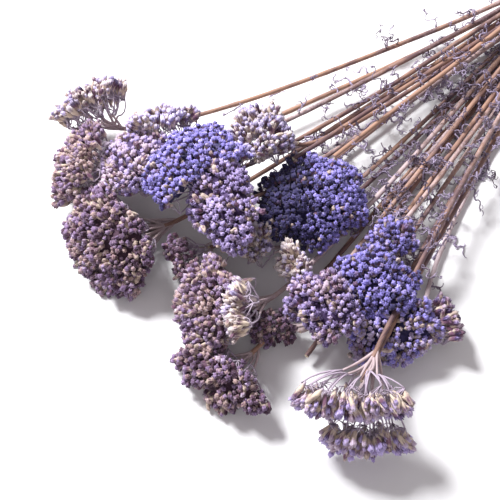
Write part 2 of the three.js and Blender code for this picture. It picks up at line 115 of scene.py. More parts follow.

# The rings of a floret from its stalk up: number of points, height, radius closed and open, part of the
# colour (0 for stalk, 0.5 for the cup's edge, 1 for petals), how far the gaps between the petals go in,
# and the painted light or shade of the ring: painted shade under the petals and in their gaps, painted
# highlights on their tops
FLORET_RINGS = [
    (5, 0.1, 0.30, 0.30, 0.08, 0.0, 0.0),
    (5, 1.8, 1.25, 1.02, 0.30, 0.0, 0.0),
    (10, 3.5, 1.15, 1.22, 0.52, 0.1, -0.35),
    (10, 4.45, 1.00, 1.62, 0.92, 0.3, 0.12),
    (10, 5.15, 0.64, 1.12, 1.00, 0.24, 0.38),
    (5, 4.95, 0.34, 0.46, 1.00, 0.0, -0.1),
]
PETALS = 5
FLORET_TOP = 5.6
NOTCH_DEPTH = 1.6  # of the gaps between petals, for each unit of how far they go in
# Painted shade in the gaps between the petals, taken off their light
NOTCH_PAINTED_SHADE = 0.45
PETAL_PART = 0.5  # parts above this are petals
ROUGHNESS = {"petal": 0.12, "cup": 0.05, "lift": 1.9}

# How florets stand on a dome: the shares of the ways that they lean, which widen with how uneven the head
# is, and how deep they are sunk in the clefts between its small clusters and at the clusters' rims
LEAN = {"fan": 0.55, "normal": 0.35, "bulge": 0.45, "loose": 0.08, "looser": 0.19}
FAN_DEPTH = 0.75  # of the half width, below the rim, where the florets' stalks would meet
SINK = {"top": 1.1, "cleft": 1.7, "reach": 3.6, "rim": 0.035, "loose": 0.35, "looser": 0.4}
SCATTER = 0.2  # of the spacing
ROW_SPACING = 0.866  # of the spacing, from one row of close florets to the next
CURVED_AREA = 1.22  # of a dome, for each unit of the flat area below it
LOWEST_TIP = -1.5
SOLID_REACH = 3.4  # from the solid, as far as tips are kept
STEM_ROOM = {"clear": 2.6, "below": 2.5}  # round other stems, measured a little below the tips
STRAY = {"share": 0.06, "open": 0.1, "tint": 1.25, "dark": -0.25, "light": 0.45, "size": 1.1, "lean": 0.35}
FLORET_WIDTH = 3.2  # of the rings above
VARY = {"size": 0.13, "least": 0.65, "most": 1.35, "open": 0.22, "light": 0.25}
PATCH = {"up": 0.17, "across": 0.13}
LOBE_REACH = 0.86
LOBE_AREA = 150  # of a head's face, in square millimetres, that one of its small clusters takes
FORK = {"neck": 0.42, "cluster": 0.58, "inwards": 0.6, "down": 14.0}
CORE_DEPTH = (4.7, 6.4)  # from a head's surface to the top and the bottom of its dense inner part
CORE_REACH = 0.86  # of the way out to the rim
BARE_REACH = 2.0  # from a floret's place, as far as the dense inner part goes
BARE_PULL = {"inwards": 0.84, "down": 0.8}
CORE_FROM = {"half": 30, "open": 0.5}  # smaller or more closed heads have no dense inner part

# Stalks: half thickness at the start and the end of those to a floret, to a twig of florets and to a cluster
STALKS = {"floret": (0.3, 0.24), "twig": (0.5, 0.36), "fork": (0.95, 0.55)}
TWIG = {"florets": 9, "out": 0.92, "inwards": 0.86, "depth": 10.5}

# Stems: points round them, ridges of the bark and their height, the knuckles' height and half length, and how
# far one knuckle is from the next
BARK = {"sides": 10, "ridges": 5, "ridge": 0.055, "rough": 0.012, "knuckle": 0.16, "knuckle_half": 1.6}
KNUCKLES = {"number": 14, "first": -60, "gap": (26, 52)}
WANDER = {"size": 0.25, "turn": 0.045, "still": 12}  # off a smooth line, but not this near the tie
CUT_FACE = {"pith": 0.55, "dish": 0.25, "middle": 0.3}

# Curled leaves and their side threads: points along, length, curl, half width and how flat they are
LEAF = {"steps": 13, "length": (9, 26), "curl": 0.9, "crimp": 1.25, "half": (0.5, 0.95), "flat": 0.6}
THREAD = {"steps": 5, "length": (1.8, 5.5), "curl": 3.6, "half": (0.34, 0.55), "flat": 0.7}
THREADS_PER_LEAF = 8
LEAF_SIDES = 3
# How far to one side a stem's neck has to lie to carry most leaves, and the shares of the leaves
LEAFY = {"from": -60, "to": 60, "least": 0.45, "more": 0.85}
# How threads curl: the way that they leave their root, how unevenly they turn, and how far they lean aside
CURL = {"heading": (0.3, 1.2), "turn": (0.5, 1.5), "aside": 0.35, "waves": (9, 15)}

# The twine: steps of one turn, points round it, its plies' height and twist, and its loose fibres
TWINE = {"steps": 170, "sides": 15, "end_sides": 14, "inner": 0.74, "ply": 0.3, "twist": 4.2}
FIBRES = {"number": 150, "steps": 5, "length": (1.2, 3.2), "curl": 1.6, "half": 0.1}

ABOVE_FLOOR = {"all": 0.15, "leaf": 0.8, "thread": 0.5, "fibre": 0.4}  # the least height of middle lines
# Some heads get a painted shadow on their side towards this way
LEFT = np.array([0.731, -0.682, 0.0])  # the way that is left for the camera, where some heads are darker

# The camera, in millimetres from the middle of the tie, and lamps: name, place from the target in metres,
# size and power
CAMERA_PLACE = np.array([477.2, 194.1, 421.0])
CAMERA_TARGET = np.array([308.5, 13.1, 25.0])
LENS = 67.2
LAMPS = [
    ("key", (0.04, -1.0, 1.15), 0.5, 52),
    ("fill", (1.3, 1.2, 1.6), 2.0, 8),
]
WORLD_LIGHT = 0.42
WORLD_COLOUR = (1.0, 0.93, 0.94, 1)
FLOOR_HALF = 4.0


def unit(vectors):
    """The vectors made one long."""
    length = np.linalg.norm(vectors, axis=-1, keepdims=True)
    return vectors / np.maximum(length, 1e-9)


def turns_of(count):
    """Angles spread evenly over one whole turn."""
    return np.arange(count) / count * 2 * math.pi


def grid_faces(index):
    """Four-sided faces between rings of numbered points (..., steps, sides), where each ring is closed."""
    after = np.roll(index, -1, axis=-1)
    corners = [index[..., :-1, :], after[..., :-1, :], after[..., 1:, :], index[..., 1:, :]]
    return np.stack(corners, axis=-1).reshape(-1, 4)


def side_of(directions):
    """A direction at right angles to each of the given ones."""
    smallest = np.eye(3)[np.argmin(np.abs(directions), axis=-1)]
    return unit(np.cross(directions, smallest))


class Shape:
    """Points, faces and point values that are gathered into one mesh."""

    def __init__(self):
        self.points = []
        self.faces = []
        self.values = {name: [] for name in MESH_VALUES}
        self.count = 0

    def add(self, points, faces, part, shade, tint):
        """Adds points (n, 3), lists of faces that number them from 0, and their values."""
        number = len(points)
        self.points.append(points)
        self.faces += [face + self.count for face in faces]
        for name, value in zip(MESH_VALUES, (part, shade, tint)):
            self.values[name].append(np.broadcast_to(np.asarray(value, float), (number,)))
        self.count += number

    def mesh(self, name):
        """The gathered mesh, in metres in the part's frame."""
        mesh = bpy.data.meshes.new(name)
        points = np.concatenate(self.points)
        points[:, 2] = np.maximum(points[:, 2], ABOVE_FLOOR["all"])
        points = points * MM + origin()
        loops = np.concatenate([face.ravel() for face in self.faces])
        sizes = np.concatenate([np.full(len(face), face.shape[1]) for face in self.faces])
        starts = np.concatenate([[0], np.cumsum(sizes)[:-1]])
        mesh.vertices.add(len(points))
        mesh.vertices.foreach_set("co", points.astype(np.float32).ravel())
        mesh.loops.add(len(loops))
        mesh.loops.foreach_set("vertex_index", loops.astype(np.int32))
        mesh.polygons.add(len(sizes))
        mesh.polygons.foreach_set("loop_start", starts.astype(np.int32))
        mesh.update(calc_edges=True)
        for value, parts in self.values.items():
            attribute = mesh.attributes.new(value, "FLOAT", "POINT")
            attribute.data.foreach_set("value", np.concatenate(parts).astype(np.float32))
        mesh.shade_smooth()
        return mesh


def origin():
    """Where the middle of the tie stands in the part's frame."""
    low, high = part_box("tie")
    return np.array([(low.x + high.x) / 2, (low.y + high.y) / 2, 0.0])


def add_piece(name, shape, node, material):
    """Makes the gathered shape a piece that stands for one solid of the part."""
    mesh = shape.mesh(name)
    mesh.materials.append(material)
    piece = bpy.data.objects.new(name, mesh)
    bpy.context.scene.collection.objects.link(piece)
    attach(piece, "root")
    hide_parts(node)


def sweep(paths, wide, high, sides):
    """Closed oval bars along many paths (n, p, 3), with half sizes (n, p). Returns their points and faces."""
    number, steps, _ = paths.shape
    along = unit(np.gradient(paths, axis=1))
    side = side_of(along[:, 0])
    turns = turns_of(sides) + math.pi / sides
    rings = []
    for i in range(steps):
        side = unit(side - along[:, i] * np.sum(side * along[:, i], axis=-1, keepdims=True))
        up = np.cross(along[:, i], side)
        across = side[:, None] * (np.cos(turns) * wide[:, i, None])[..., None]
        rise = up[:, None] * (np.sin(turns) * high[:, i, None])[..., None]
        rings.append(paths[:, i, None] + across + rise)
    points = np.stack(rings, axis=1).reshape(-1, 3)
    index = np.arange(number * steps * sides).reshape(number, steps, sides)
    return points, [grid_faces(index), index[:, 0, ::-1], index[:, -1]]


def tube(path, reach, side):
    """Rings of points round one path, at distances (steps, sides), and the faces between them."""
    along = unit(np.gradient(path, axis=0))
    turns = turns_of(reach.shape[1])
    rings = []
    for i in range(len(path)):
        side = unit(side - along[i] * side.dot(along[i]))
        up = np.cross(along[i], side)
        ways = side * np.cos(turns)[:, None] + up * np.sin(turns)[:, None]
        rings.append(path[i] + ways * reach[i, :, None])
    return rings, grid_faces(np.arange(reach.size).reshape(reach.shape))


def bezier(points, count):
    """Points along a cubic curve."""
    share = np.linspace(0, 1, count)[:, None]
    a, b, c, d = (np.asarray(point, float) for point in points)
    rest = 1 - share
    return rest**3 * a + 3 * rest**2 * share * b + 3 * rest * share**2 * c + share**3 * d


def slot_place(slot):
    """Where a stem passes through the tie."""
    row, place = slot
    return np.array([0.0, (place - (ROWS[row] - 1) / 2) * SLOT_PITCH, LOWEST_ROW + row * ROW_PITCH])


def draw(seed):
    """The first number of the part's own row of numbers from 0 to 1."""
    return ((seed * 1664525 + 1013904223) % 2**32) / 2**32


def stem_line(index, count):
    """The middle line of a stem from the tie to its neck."""
    stem = STEMS[index]
    neck = np.array(stem["neck"], float)
    slot = slot_place(stem["slot"])
    carried = [head for head in HEADS if head["stem"] == index + 1]
    if carried:
        target = np.array(carried[0]["top"], float) - neck
    else:
        target = np.array([neck[0], neck[1], neck[2] - 9])
    leave = slot + np.array([TIE_HANDLE * np.linalg.norm(neck - slot), 0, 0])
    return bezier([slot, leave, neck - unit(target) * NECK_HANDLE, neck], count)


def tail_line(index, count):
    """The middle line of a stem from its cut end to the tie."""
    slot = slot_place(STEMS[index]["slot"])
    length = TAIL["length"] + TAIL["uneven"] * (2 * draw(900 + index) - 1)
    height = STEM_RADIUS["cut"] + 0.1 + STEMS[index]["slot"][0] * ROW_PITCH * 1.1
    cut = np.array([-length, slot[1] * TAIL["flare"], height])
    return bezier([cut, cut + [20, 0, 0], slot - [25, 0, 0], slot], count)


def head_axes(head):
    """The head's own axes as rows: up its face, across it, and the way that it faces."""
    bearing, pitch = (math.radians(angle) for angle in head["faces"])
    level = np.array([math.cos(bearing), math.sin(bearing), 0.0])
    facing = math.cos(pitch) * level + [0, 0, math.sin(pitch)]
    across = np.array([-math.sin(bearing), math.cos(bearing), 0.0])
    return np.array([np.cross(across, facing), across, facing])


def to_bunch(head, local):
    """Points in a head's own axes, put where they stand in the bunch."""
    return local @ head_axes(head) + head["top"]


def head_rise(head):
    """How far the rim of a head lies below its top."""
    return RISE * sum(head["half"]) / 2


def dome_points(head, index, out, turn):
    """Points of a head's dome in its own axes, and the normals there, at shares of the way out to its rim."""
    tilt = out * RIM
    lobes = 4 + index % 3
    wave = out * out * np.sin(lobes * turn + index * 1.9)
    ripple = out * out * np.sin((2 * lobes + 1) * turn + index * 3.1)
    reach = (np.sin(tilt) / math.sin(RIM)) * (1 + WAVES["wave"] * wave + WAVES["ripple"] * ripple)
    flat = 1 - math.cos(RIM)
    across, deep = head["half"]
    rise = head_rise(head)
    x = deep * reach * np.cos(turn)
    y = across * reach * np.sin(turn)
    dent = np.sin(x * WAVES["dent_up"] + index) * np.sin(y * WAVES["dent_across"] + index * 2.3)
    z = -rise * (1 - np.cos(tilt)) / flat + WAVES["rise"] * wave + WAVES["dent"] * dent
    spread = np.sin(tilt) * math.sin(RIM)
    normal = [spread * np.cos(turn) / deep, spread * np.sin(turn) / across, np.cos(tilt) * flat / rise]
    return np.stack([x, y, z], -1), unit(np.stack(normal, -1))


def solid_tree(node):
    """A search tree of one solid of the part."""
    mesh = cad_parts[node].data
    points = [vertex.co.copy() for vertex in mesh.vertices]
    return BVHTree.FromPolygons(points, [tuple(polygon.vertices) for polygon in mesh.polygons])


def nearest(points, centres):
    """For each point the number of the nearest centre, and how far it is from there to the next nearest."""
    distance = np.linalg.norm(points[:, None] - centres[None], axis=-1)
    order = np.sort(distance, axis=1)
    gap = order[:, 1] - order[:, 0] if len(centres) > 1 else np.full(len(points), 9.0)
    return np.argmin(distance, axis=1), gap


def spread_points(index, number, reach):
    """Places spread evenly over a dome, as shares out to the rim and turns."""
    place = np.arange(number) + 0.5
    return reach * np.sqrt(place / number), place * GOLDEN_TURN + index


def band_faces(first, count, second, after):
    """Triangles between two rings, where one may have twice as many points as the other."""
    near = first + np.arange(count)
    far = second + np.arange(after)
    if count == after:
        near_next, far_next = np.roll(near, -1), np.roll(far, -1)
        faces, order = [(near, near_next, far_next), (near, far_next, far)], 1
    else:
        few, many, order = (near, far, 1) if count < after else (far, near, -1)
        even, odd = many[0::2], many[1::2]
        few_next, even_next = np.roll(few, -1), np.roll(even, -1)
        faces = [(few, odd, even), (few, few_next, odd), (few_next, even_next, odd)]
    return np.concatenate([np.stack(face, -1)[:, ::order] for face in faces])


def floret_faces():
    """The faces of one floret, which number its points ring by ring with its top last."""
    counts = [ring[0] for ring in FLORET_RINGS]
    starts = np.cumsum([0] + counts)
    rings = list(zip(starts, counts))
    bands = [band_faces(*near, *far) for near, far in zip(rings[:-1], rings[1:])]
    last = starts[-2] + np.arange(counts[-1])
    return np.concatenate([*bands, np.stack([last, np.roll(last, -1), np.full(len(last), starts[-1])], -1)])


def add_florets(shape, tips, axes, size, long, opening, shade, tint, random):
    """Adds a streaked cup and its crumpled petals for each tip, which is the top of the floret."""
    number = len(tips)
    side = side_of(axes)
    up = np.cross(axes, side)
    spin = random.uniform(0, 2 * math.pi, number)[:, None]
    petal_open = opening[:, None] + random.normal(0, 0.2, (number, PETALS))
    streak = random.normal(0, 0.3, (number, PETALS))
    points, parts, shades = [], [], []
    for count, height, closed, opened, part, gap, light in FLORET_RINGS:
        petal = np.arange(count) * PETALS // count
        between = np.arange(count) % 2 * (count > PETALS)
        turn = spin + turns_of(count)
        in_petal = part > PETAL_PART
        rough = ROUGHNESS["petal" if in_petal else "cup"]
        spread = petal_open[:, petal]
        reach = (closed * (1 - spread) + opened * spread) * (1 - gap * between)
        reach = reach * (1 + random.normal(0, rough, (number, count))) * size[:, None]
        lift = (height - FLORET_TOP) * long - NOTCH_DEPTH * gap * between
        lift = lift + random.normal(0, rough * ROUGHNESS["lift"], (number, count))
        flat = side[:, None] * np.cos(turn)[..., None] + up[:, None] * np.sin(turn)[..., None]
        ring = tips[:, None] + flat * reach[..., None] + axes[:, None] * (lift * size[:, None])[..., None]
        points.append(ring)
        parts.append(np.full((number, count), part))
        # Petals take their ring's painted light or shade, with painted shade in the gaps between them; cups
        # take their own random streaks
        painted_light_or_streak = light - NOTCH_PAINTED_SHADE * between * (gap > 0) if in_petal else streak[:, petal]
        shades.append(shade[:, None] + painted_light_or_streak + random.normal(0, 0.1, (number, count)))
    points.append(tips[:, None])
    parts.append(np.ones((number, 1)))
    # A painted highlight on the floret's top
    shades.append(shade[:, None] + 0.25)
    points, parts, shades = (np.concatenate(values, axis=1) for values in (points, parts, shades))
    each = points.shape[1]
    faces = floret_faces()[None] + (np.arange(number) * each)[:, None, None]
    tints = np.repeat(tint, each)
    shape.add(points.reshape(-1, 3), [faces.reshape(-1, 3)], parts.ravel(), shades.ravel(), tints)


def add_core(shape, head, index, florets, random):
    """Adds the dense inner part of a head, drawn in where no floret stands on it, in the darkest petal colour
    as painted shade of the head's deep inside.
    """
    rings, sides = 14, 48
    out = np.linspace(0.03, CORE_REACH, rings)[:, None] * np.ones(sides)
    turn = turns_of(sides)[None] * np.ones((rings, 1))
    dome, normal = dome_points(head, index, out, turn)
    deep = np.array(CORE_DEPTH)[:, None, None] * np.ones((2, rings, sides))
    deep += random.normal(0, 0.6, (2, rings, sides))
    deep[:, -1] = np.mean(CORE_DEPTH)
    flat = dome.reshape(-1, 3)
    close = florets[nearest(flat, florets)[0]]
    bare = np.maximum(np.linalg.norm(close - flat, axis=-1, keepdims=True) - BARE_REACH, 0)
    inwards = [BARE_PULL["inwards"], BARE_PULL["inwards"], 1]
    drawn_in = ((close * inwards - flat) * np.minimum(bare, 1)).reshape(dome.shape)
    deep = deep + BARE_PULL["down"] * bare.reshape(rings, sides)
    layers = (dome + drawn_in)[None] - normal[None] * deep[..., None]
    sheet = np.concatenate([layers[0], layers[1, -2::-1]])
    index_of = np.arange(len(sheet) * sides).reshape(-1, sides)
    points = to_bunch(head, sheet.reshape(-1, 3))
    faces = [grid_faces(index_of)[:, ::-1], index_of[:1, ::-1], index_of[-1:]]
    # The lowest shade value: painted shade of the head's deep inside
    shape.add(points, faces, 0.9, -0.5, 0.0)


def add_stalks(shape, starts, ends, kind, bend, part, shade, tint, sides, steps):
    """Adds thin stalks from starts to ends, which bow outwards by the vectors given."""
    share = np.linspace(0, 1, steps)[None, :, None]
    paths = starts[:, None] * (1 - share) + ends[:, None] * share + bend[:, None] * (share * (1 - share) * 4)
    size = np.linspace(*STALKS[kind], steps)[None] * np.ones((len(starts), 1))
    points, faces = sweep(paths, size, size, sides)
    each = steps * sides
    shape.add(points, faces, part, np.repeat(np.broadcast_to(shade, len(starts)), each), tint)


def lobe_places(index):
    """Middles of the smaller clusters that a head is made of, and the normals there."""
    head = HEADS[index]
    number = max(3, round(head["half"][0] * head["half"][1] * math.pi / LOBE_AREA))
    out, turn = spread_points(index + 3, number, LOBE_REACH)
    return dome_points(head, index, out, turn)


def fork_places(index):
    """Where the stem's forks end under a head's clusters, in the head's own axes."""
    head = HEADS[index]
    neck = (np.array(STEMS[head["stem"] - 1]["neck"], float) - head["top"]) @ head_axes(head).T
    clusters = lobe_places(index)[0] * [FORK["inwards"], FORK["inwards"], 1] - [0, 0, FORK["down"]]
    return neck * FORK["neck"] + clusters * FORK["cluster"]


def node_name(kind, index):
    """The name of one solid of the part."""
    return f"{kind}_{index + 1:02d}"


def near_solid(tips, node, reach):
    """Which tips lie within reach of the solid that the head stands for."""
    tree = solid_tree(node)
    start = origin()
    return np.array([tree.find_nearest(Vector(tip * MM + start))[3] < reach * MM for tip in tips])


def well_placed(index, tips, axis):
    """Which tips of a head lie above the floor, near its solid and clear of the stems of other heads."""
    head = HEADS[index]
    places = to_bunch(head, tips)
    keep = (places[:, 2] > LOWEST_TIP) & near_solid(places, node_name("head", index), SOLID_REACH)
    others = np.concatenate([stem_line(i, 80) for i in range(len(STEMS)) if i != head["stem"] - 1])
    inner = places - (axis @ head_axes(head)) * STEM_ROOM["below"]
    away = np.linalg.norm(inner[:, None] - others[None], axis=-1).min(axis=1)
    return keep & (away > STEM_ROOM["clear"])


def floret_places(index, pitch, random):
    """The florets' places on the dome of a head, their tips and the ways that they point, in its own axes."""
    head = HEADS[index]
    rough = head["rough"]
    number = int(math.pi * head["half"][0] * head["half"][1] * CURVED_AREA / (ROW_SPACING * pitch**2))
    out, turn = spread_points(index, number, 1.0)
    dome, normal = dome_points(head, index, out, turn)
    dome[:, :2] += random.normal(0, SCATTER * pitch, (number, 2))
    lobe_centres, lobe_normals = lobe_places(index)
    lobe, gap = nearest(dome, lobe_centres)
    cleft = np.clip(1 - gap / SINK["reach"], 0, 1) ** 2
    away = np.linalg.norm(dome - lobe_centres[lobe], axis=-1)
    fan = unit(dome + [0.0, 0.0, head_rise(head) + FAN_DEPTH * sum(head["half"]) / 2])
    bulge = unit(dome - lobe_centres[lobe] + lobe_normals[lobe] * 9)
    lean = LEAN["fan"] * fan + LEAN["normal"] * normal + LEAN["bulge"] * rough * bulge
    axis = unit(lean + random.normal(0, LEAN["loose"] + LEAN["looser"] * rough, (number, 3)))
    lift = SINK["top"] - rough * (SINK["cleft"] * cleft + SINK["rim"] * away**2)
    lift = lift + random.normal(0, SINK["loose"] + SINK["looser"] * rough, number)
    tips = dome + axis * lift[:, None]
    keep = well_placed(index, tips, axis)
    return dome[keep], tips[keep], axis[keep]


def head_shape(index, sizes):
    """All the florets of one head with the fine stalks that carry them."""
    shape = Shape()
    head = HEADS[index]
    random = np.random.default_rng(40 + index)
    axes = head_axes(head)
    rough = head["rough"]
    half = sum(head["half"]) / 2
    dome, tips, axis = floret_places(index, sizes.floret_pitch / MM, random)
    number = len(tips)
    size = random.normal(1.0, VARY["size"], number).clip(VARY["least"], VARY["most"])
    size = size * sizes.floret_size / (FLORET_WIDTH * MM)
    opening = np.clip(head["open"] + random.normal(0, VARY["open"], number), 0, 1.1)
    # Painted shadow: florets on a head's side towards the camera's left are made darker, and the head's light
    # value is partly painted light or shade
    leftwards = (dome @ axes) @ LEFT / half
    left_painted_shadow = head["left_painted_shadow"] * np.clip(0.2 + 1.6 * leftwards, 0, 1)
    shade = np.clip(head["light"] + random.normal(0, VARY["light"], number), 0, 1) - left_painted_shadow
    patch = np.sin(dome[:, 0] * PATCH["up"] + index) * np.sin(dome[:, 1] * PATCH["across"] + 2 * index)
    tint = np.clip(head["faded"] + (0.1 + 0.2 * rough) * (patch + random.normal(0, 1, number)), 0, 1)
    stray = random.random(number) < STRAY["share"] * rough
    opening[stray] = STRAY["open"]
    shade[stray] = random.uniform(STRAY["dark"], STRAY["light"], stray.sum())
    tint[stray] = STRAY["tint"]
    size[stray] *= STRAY["size"]
    axis[stray] = unit(axis[stray] + random.normal(0, STRAY["lean"], (stray.sum(), 3)))
    add_florets(shape, to_bunch(head, tips), axis @ axes, size, head["long"], opening, shade, tint, random)
    if 2 * half > CORE_FROM["half"] and head["open"] > CORE_FROM["open"]:
        add_core(shape, head, index, dome, random)
    feet = tips - axis * (FLORET_TOP * head["long"] * size - 0.25)[:, None]
    add_head_stalks(shape, index, dome, feet, axis, shade, random)
    return shape


def add_head_stalks(shape, index, dome, feet, axis, shade, random):
    """Adds the fine stalks from a head's clusters to its twigs and from the twigs to the florets' feet."""
    head = HEADS[index]
    axes = head_axes(head)
    number = len(feet)
    out, turn = spread_points(index + 7, max(6, number // TWIG["florets"]), TWIG["out"])
    twig_dome, _ = dome_points(head, index, out, turn)
    twig, _ = nearest(dome, twig_dome)
    used = np.unique(twig)
    twigs = twig_dome * [TWIG["inwards"], TWIG["inwards"], 1] - [0, 0, TWIG["depth"]]
    branch, _ = nearest(twig_dome, lobe_places(index)[0])
    starts = twigs[twig]
    bow = np.cross(starts - feet, random.normal(0, 0.12, (number, 3))) + axis * -0.8
    starts, ends = to_bunch(head, starts), to_bunch(head, feet)
    add_stalks(shape, starts, ends, "floret", bow @ axes, 0.0, shade, 0.4, 3, 3)
    starts = fork_places(index)[branch[used]]
    bow = np.array([0, 0, -1.5]) + random.normal(0, 0.5, (len(used), 3))
    starts, ends = to_bunch(head, starts), to_bunch(head, twigs[used])
    add_stalks(shape, starts, ends, "twig", bow @ axes, 0.0, 0.5, 0.4, 5, 5)


def add_bark(shape, path, radius, random):
    """Adds one stem as a ridged tube with a pale cut face at each end."""
    steps, sides = len(path), BARK["sides"]
    along = unit(np.gradient(path, axis=0))
    phase = random.uniform(0, 6)
    place = np.arange(steps)
    ridges = np.cos(BARK["ridges"] * turns_of(sides) + phase + 0.02 * place[:, None])
    rib = 1 + BARK["ridge"] * ridges + random.normal(0, BARK["rough"], (steps, sides))
    rings, quads = tube(path, radius[:, None] * rib, np.array([0.0, 1.0, 0.0]))
    shade = random.uniform(0.1, 0.9) + 0.15 * np.sin(place * 0.13 + phase)
    tint = random.uniform(0.05, 0.75) + 0.2 * np.sin(place * 0.07 + 2 * phase)
    shape.add(np.concatenate(rings), [quads], 0.3, np.repeat(shade, sides), np.repeat(tint, sides))
    index = np.arange(sides)
    after = np.roll(index, -1)
    outer = np.stack([index, after, after + sides, index + sides], -1)
    core = np.stack([index + sides, after + sides, np.full(sides, 2 * sides)], -1)
    for end, order in ((0, -1), (steps - 1, 1)):
        inwards = -order * along[end]
        inner = path[end] + (rings[end] - path[end]) * CUT_FACE["pith"] + CUT_FACE["dish"] * inwards
        face = np.concatenate([rings[end], inner, path[end][None] + CUT_FACE["middle"] * inwards])
        shape.add(face, [outer[:, ::order], core[:, ::order]], 1.0, 0.5, 0.3)


def curl_paths(roots, out, along, length, curl, random, steps, crimp=0.0):
    """Middle lines of curled threads that leave their roots outwards and hook round, or wind to and fro."""
    number = len(roots)
    heading = random.uniform(*CURL["heading"], number)
    turn = curl * random.uniform(*CURL["turn"], number) * random.choice([1, 1, -1], number)
    side = np.cross(along, out)
    lean = random.normal(0, CURL["aside"], number)
    waves = random.uniform(*CURL["waves"], number)
    step = (length / (steps - 1))[:, None]
    place = roots.copy()
    places = [place.copy()]
    for i in range(steps - 1):
        share = i / (steps - 1)
        angle = heading + turn * share**0.8 + crimp * np.sin(waves * share)
        drift = (lean * math.sin(2.6 * share + 0.5))[:, None]
        way = along * np.cos(angle)[:, None] + out * np.sin(angle)[:, None] + side * drift
        place = place + step * unit(way)
        places.append(place.copy())
    return np.stack(places, axis=1)


def tapered(number, shape_of, end, random):
    """Half widths along bars of one kind, from their full width to a share of it at the end."""
    taper = np.linspace(1, end, shape_of["steps"])[None]
    return taper * random.uniform(*shape_of["half"], number)[:, None]


def add_leaves(shape, path, index, sizes, random):
    """Adds curled thread-like leaves along a stem, each with small hooked side threads."""
    inside = np.where((path[:, 0] > sizes.leaf_from / MM) & (path[:, 0] < sizes.leaf_to / MM))[0]
    outer = np.clip((STEMS[index]["neck"][1] - LEAFY["from"]) / (LEAFY["to"] - LEAFY["from"]), 0, 1)
    number = round(sizes.leaves * (LEAFY["least"] + LEAFY["more"] * outer))
    spacing = np.gradient(path[:, 0])[inside]
    picks = random.choice(inside, number, p=spacing / spacing.sum())
    along = unit(np.gradient(path, axis=0))[picks]
    side = side_of(along)
    up = np.cross(along, side)
    turn = random.uniform(0, 2 * math.pi, number)[:, None]
    out = side * np.cos(turn) + up * np.sin(turn)
    length = random.uniform(*LEAF["length"], number)
    way = along * random.choice([1, 1, -1], number)[:, None]
    ribs = curl_paths(path[picks], out, way, length, LEAF["curl"], random, LEAF["steps"], LEAF["crimp"])
    ribs[..., 2] = np.maximum(ribs[..., 2], ABOVE_FLOOR["leaf"])
    half = tapered(number, LEAF, 0.5, random)
    points, faces = sweep(ribs, half, half * LEAF["flat"], LEAF_SIDES)
    shade = random.uniform(0.1, 0.9, number)
    tint = random.uniform(0, 1, number)
    each = LEAF["steps"] * LEAF_SIDES
    shape.add(points, faces, 0.0, np.repeat(shade, each), np.repeat(tint, each))
    at = random.integers(1, LEAF["steps"], (number, THREADS_PER_LEAF)).ravel()
    leaf = np.repeat(np.arange(number), THREADS_PER_LEAF)
    rib_along = unit(np.gradient(ribs, axis=1))[leaf, at]
    out = unit(np.cross(rib_along, random.normal(0, 1, (len(leaf), 3))))
    length = random.uniform(*THREAD["length"], len(leaf))
    threads = curl_paths(ribs[leaf, at], out, rib_along, length, THREAD["curl"], random, THREAD["steps"])
    threads[..., 2] = np.maximum(threads[..., 2], ABOVE_FLOOR["thread"])
    half = tapered(len(leaf), THREAD, 0.5, random)
    points, faces = sweep(threads, half, half * THREAD["flat"], LEAF_SIDES)
    shape.add(points, faces, 0.0, np.repeat(shade[leaf] + 0.15, THREAD["steps"] * LEAF_SIDES), 0.5)


def stem_shape(index, sizes):
    """One stem from its cut end through the tie to its neck, with its forks and leaves."""
    random = np.random.default_rng(300 + index)
    path = np.concatenate([tail_line(index, 26)[:-1], stem_line(index, 90)])
    radius = np.interp(path[:, 0], [path[0, 0], 0, path[-1, 0]], list(STEM_RADIUS.values()))
    knuckles = np.cumsum(random.uniform(*KNUCKLES["gap"], KNUCKLES["number"])) + KNUCKLES["first"]
    for knuckle in knuckles:
        away = (path[:, 0] - knuckle) / BARK["knuckle_half"]
        radius = radius * (1 + BARK["knuckle"] * np.exp(-(away**2)))
    wander = WANDER["size"] * np.sin(path[:, 0] * WANDER["turn"] + index)
    path[:, 1] += wander * (np.abs(path[:, 0]) > WANDER["still"])
    shape = Shape()
    add_bark(shape, path, radius, random)
    for dome in (i for i, head in enumerate(HEADS) if head["stem"] == index + 1):
        forks = to_bunch(HEADS[dome], fork_places(dome))
        starts = path[-1 - random.integers(0, 8, len(forks))]
        bow = np.array([0, 0, -1.0]) + random.normal(0, 0.6, (len(forks), 3))
        add_stalks(shape, starts, forks, "fork", bow, 0.6, 0.5, 0.6, 6, 7)
    add_leaves(shape, path, index, sizes, random)
    return shape


def ring_path(count, room):
    """A path round all the stems at the tie, at a distance from their middle lines."""
    places = np.array([slot_place((row, place)) for row in range(len(ROWS)) for place in range(ROWS[row])])
    middle = places.mean(axis=0)
    turns = turns_of(count)
    ways = np.stack([np.zeros(count), np.sin(turns), np.cos(turns)], -1)
    reach = ((places - middle) @ ways.T).max(axis=0) + room
    slope = (np.roll(reach, -1) - np.roll(reach, 1)) / (4 * math.pi / count)
    across = np.stack([np.zeros(count), np.cos(turns), -np.sin(turns)], -1)
    return middle + ways * reach[:, None] + across * slope[:, None]


